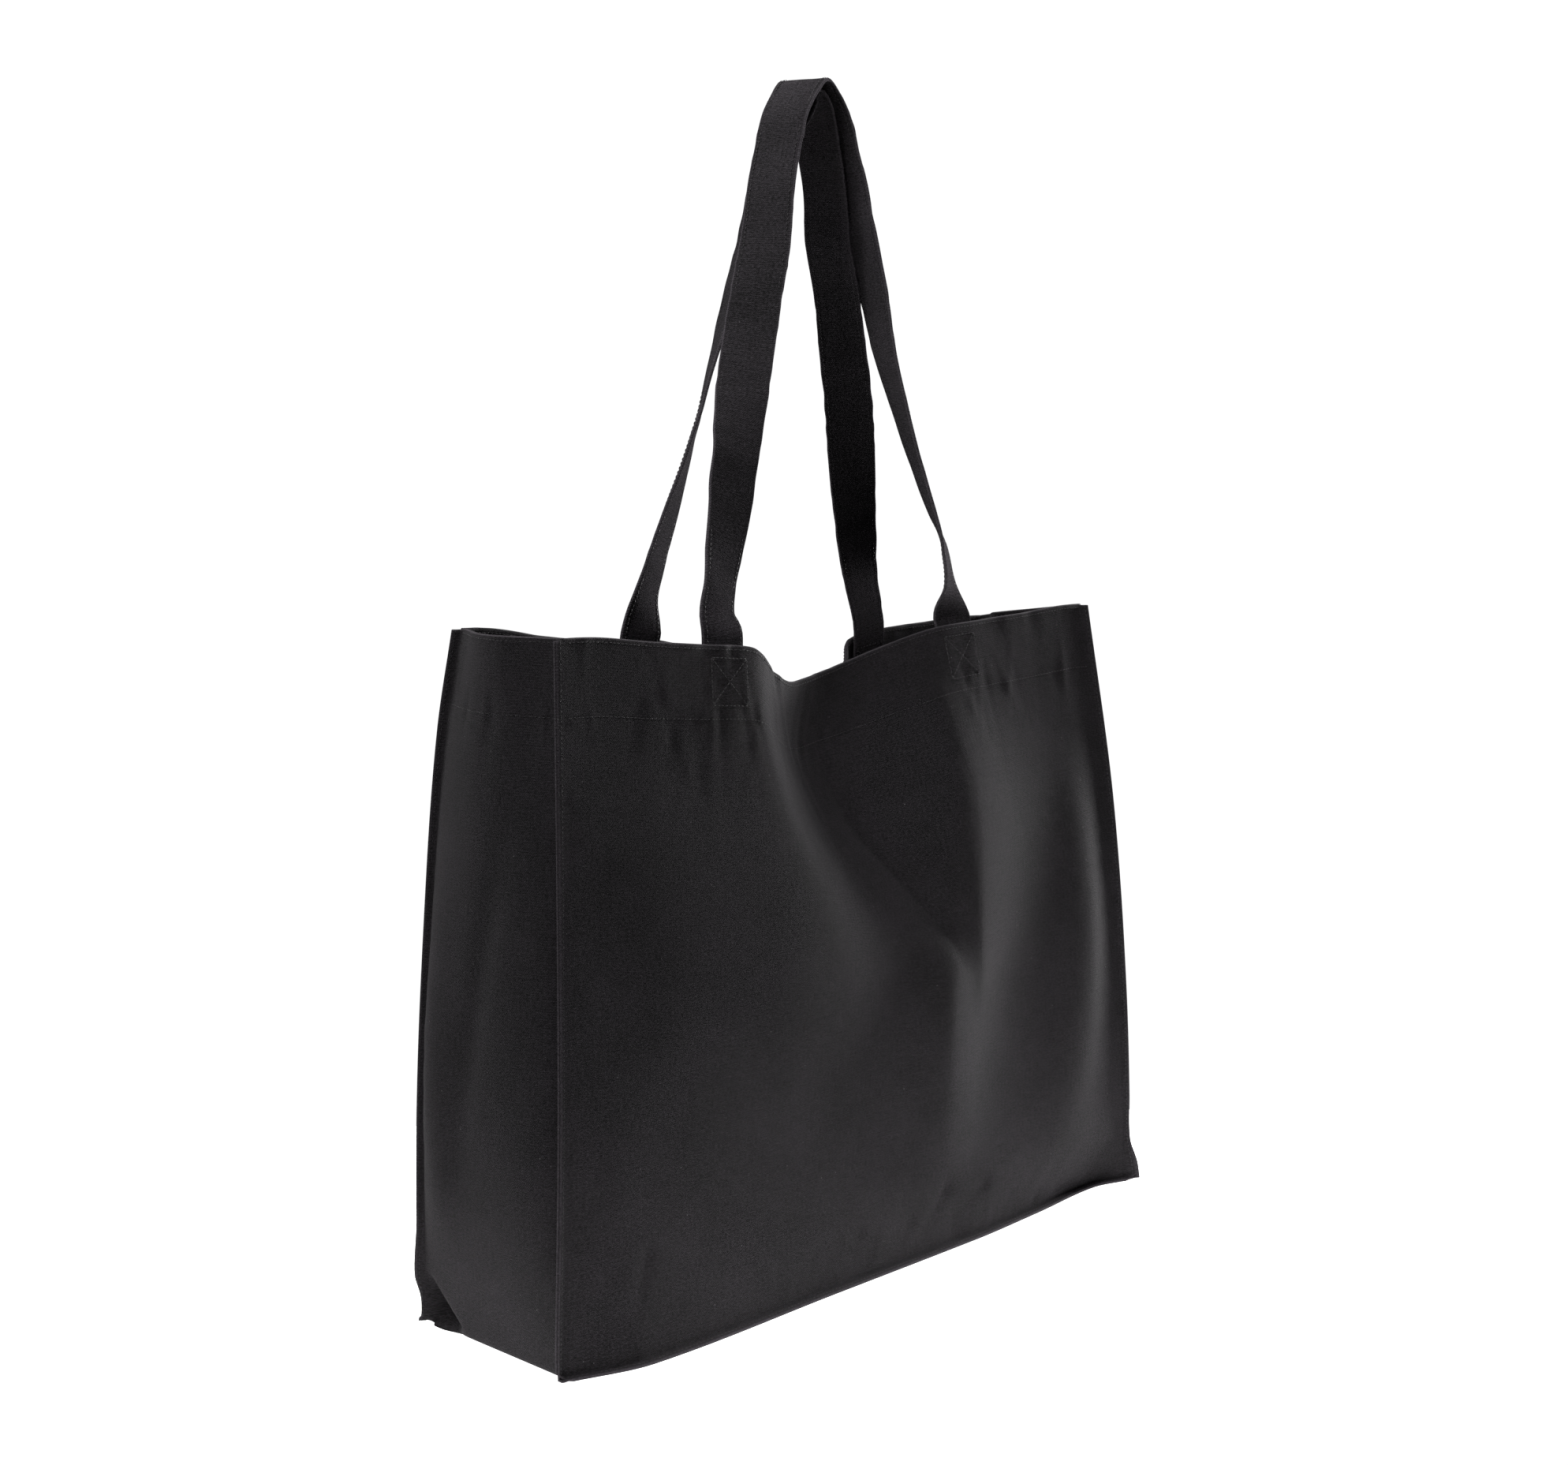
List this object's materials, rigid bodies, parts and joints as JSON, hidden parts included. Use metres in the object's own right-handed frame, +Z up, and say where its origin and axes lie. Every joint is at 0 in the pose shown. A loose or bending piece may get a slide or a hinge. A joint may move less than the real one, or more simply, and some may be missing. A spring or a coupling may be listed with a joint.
{
  "type": "canvas tote bag",
  "caption": "Plain black canvas tote bag with a boxed gusset, a deep stitched hem, raised pinch seams and a pair of long shoulder handles that swing.",
  "frame": {"origin": "on the underside of the base, at the middle of the rectangle of its four corner seams", "axes": "+Z up, -Y out of the front panel, -X out of the left gusset"},
  "size_m": [0.4983, 0.1419, 0.7009],
  "materials": {
    "black_canvas": "matt plain-weave cotton canvas, faded black",
    "handle_canvas": "matt folded canvas strap, faded black",
    "sewing_thread": "fine black sewing thread with a slight sheen"
  },
  "bodies": {
    "bag": {"back_handle_left_box_stitch": "sewing_thread", "back_handle_left_end": "handle_canvas", "back_handle_right_box_stitch": "sewing_thread", "back_handle_right_end": "handle_canvas", "back_hem_lower_stitch": "sewing_thread", "back_hem_top_stitch": "sewing_thread", "back_panel": "black_canvas", "back_seam_thread": "sewing_thread", "front_handle_left_box_stitch": "sewing_thread", "front_handle_left_end": "handle_canvas", "front_handle_right_box_stitch": "sewing_thread", "front_handle_right_end": "handle_canvas", "front_hem_lower_stitch": "sewing_thread", "front_hem_top_stitch": "sewing_thread", "front_panel": "black_canvas", "front_seam_thread": "sewing_thread", "gusset_strip": "black_canvas", "left_gusset_hem_lower_stitch": "sewing_thread", "left_gusset_hem_top_stitch": "sewing_thread", "right_gusset_hem_lower_stitch": "sewing_thread", "right_gusset_hem_top_stitch": "sewing_thread"},
    "front_handle": {"front_handle": "handle_canvas", "front_handle_inner_stitch": "sewing_thread", "front_handle_outer_stitch": "sewing_thread"},
    "back_handle": {"back_handle": "handle_canvas", "back_handle_inner_stitch": "sewing_thread", "back_handle_outer_stitch": "sewing_thread"}
  },
  "joints": [
    {"name": "front_handle_swing", "type": "hinge", "parent": "bag", "child": "front_handle", "pos_m": [-0.01949, -0.04947, 0.38195], "axis": [0.9956, 0.0932, 0.0038], "range_deg": [0, 165]},
    {"name": "back_handle_swing", "type": "hinge", "parent": "bag", "child": "back_handle", "pos_m": [-0.00765, 0.04348, 0.375], "axis": [-0.9992, -0.0228, 0.0329], "range_deg": [0, 165]}
  ]
}
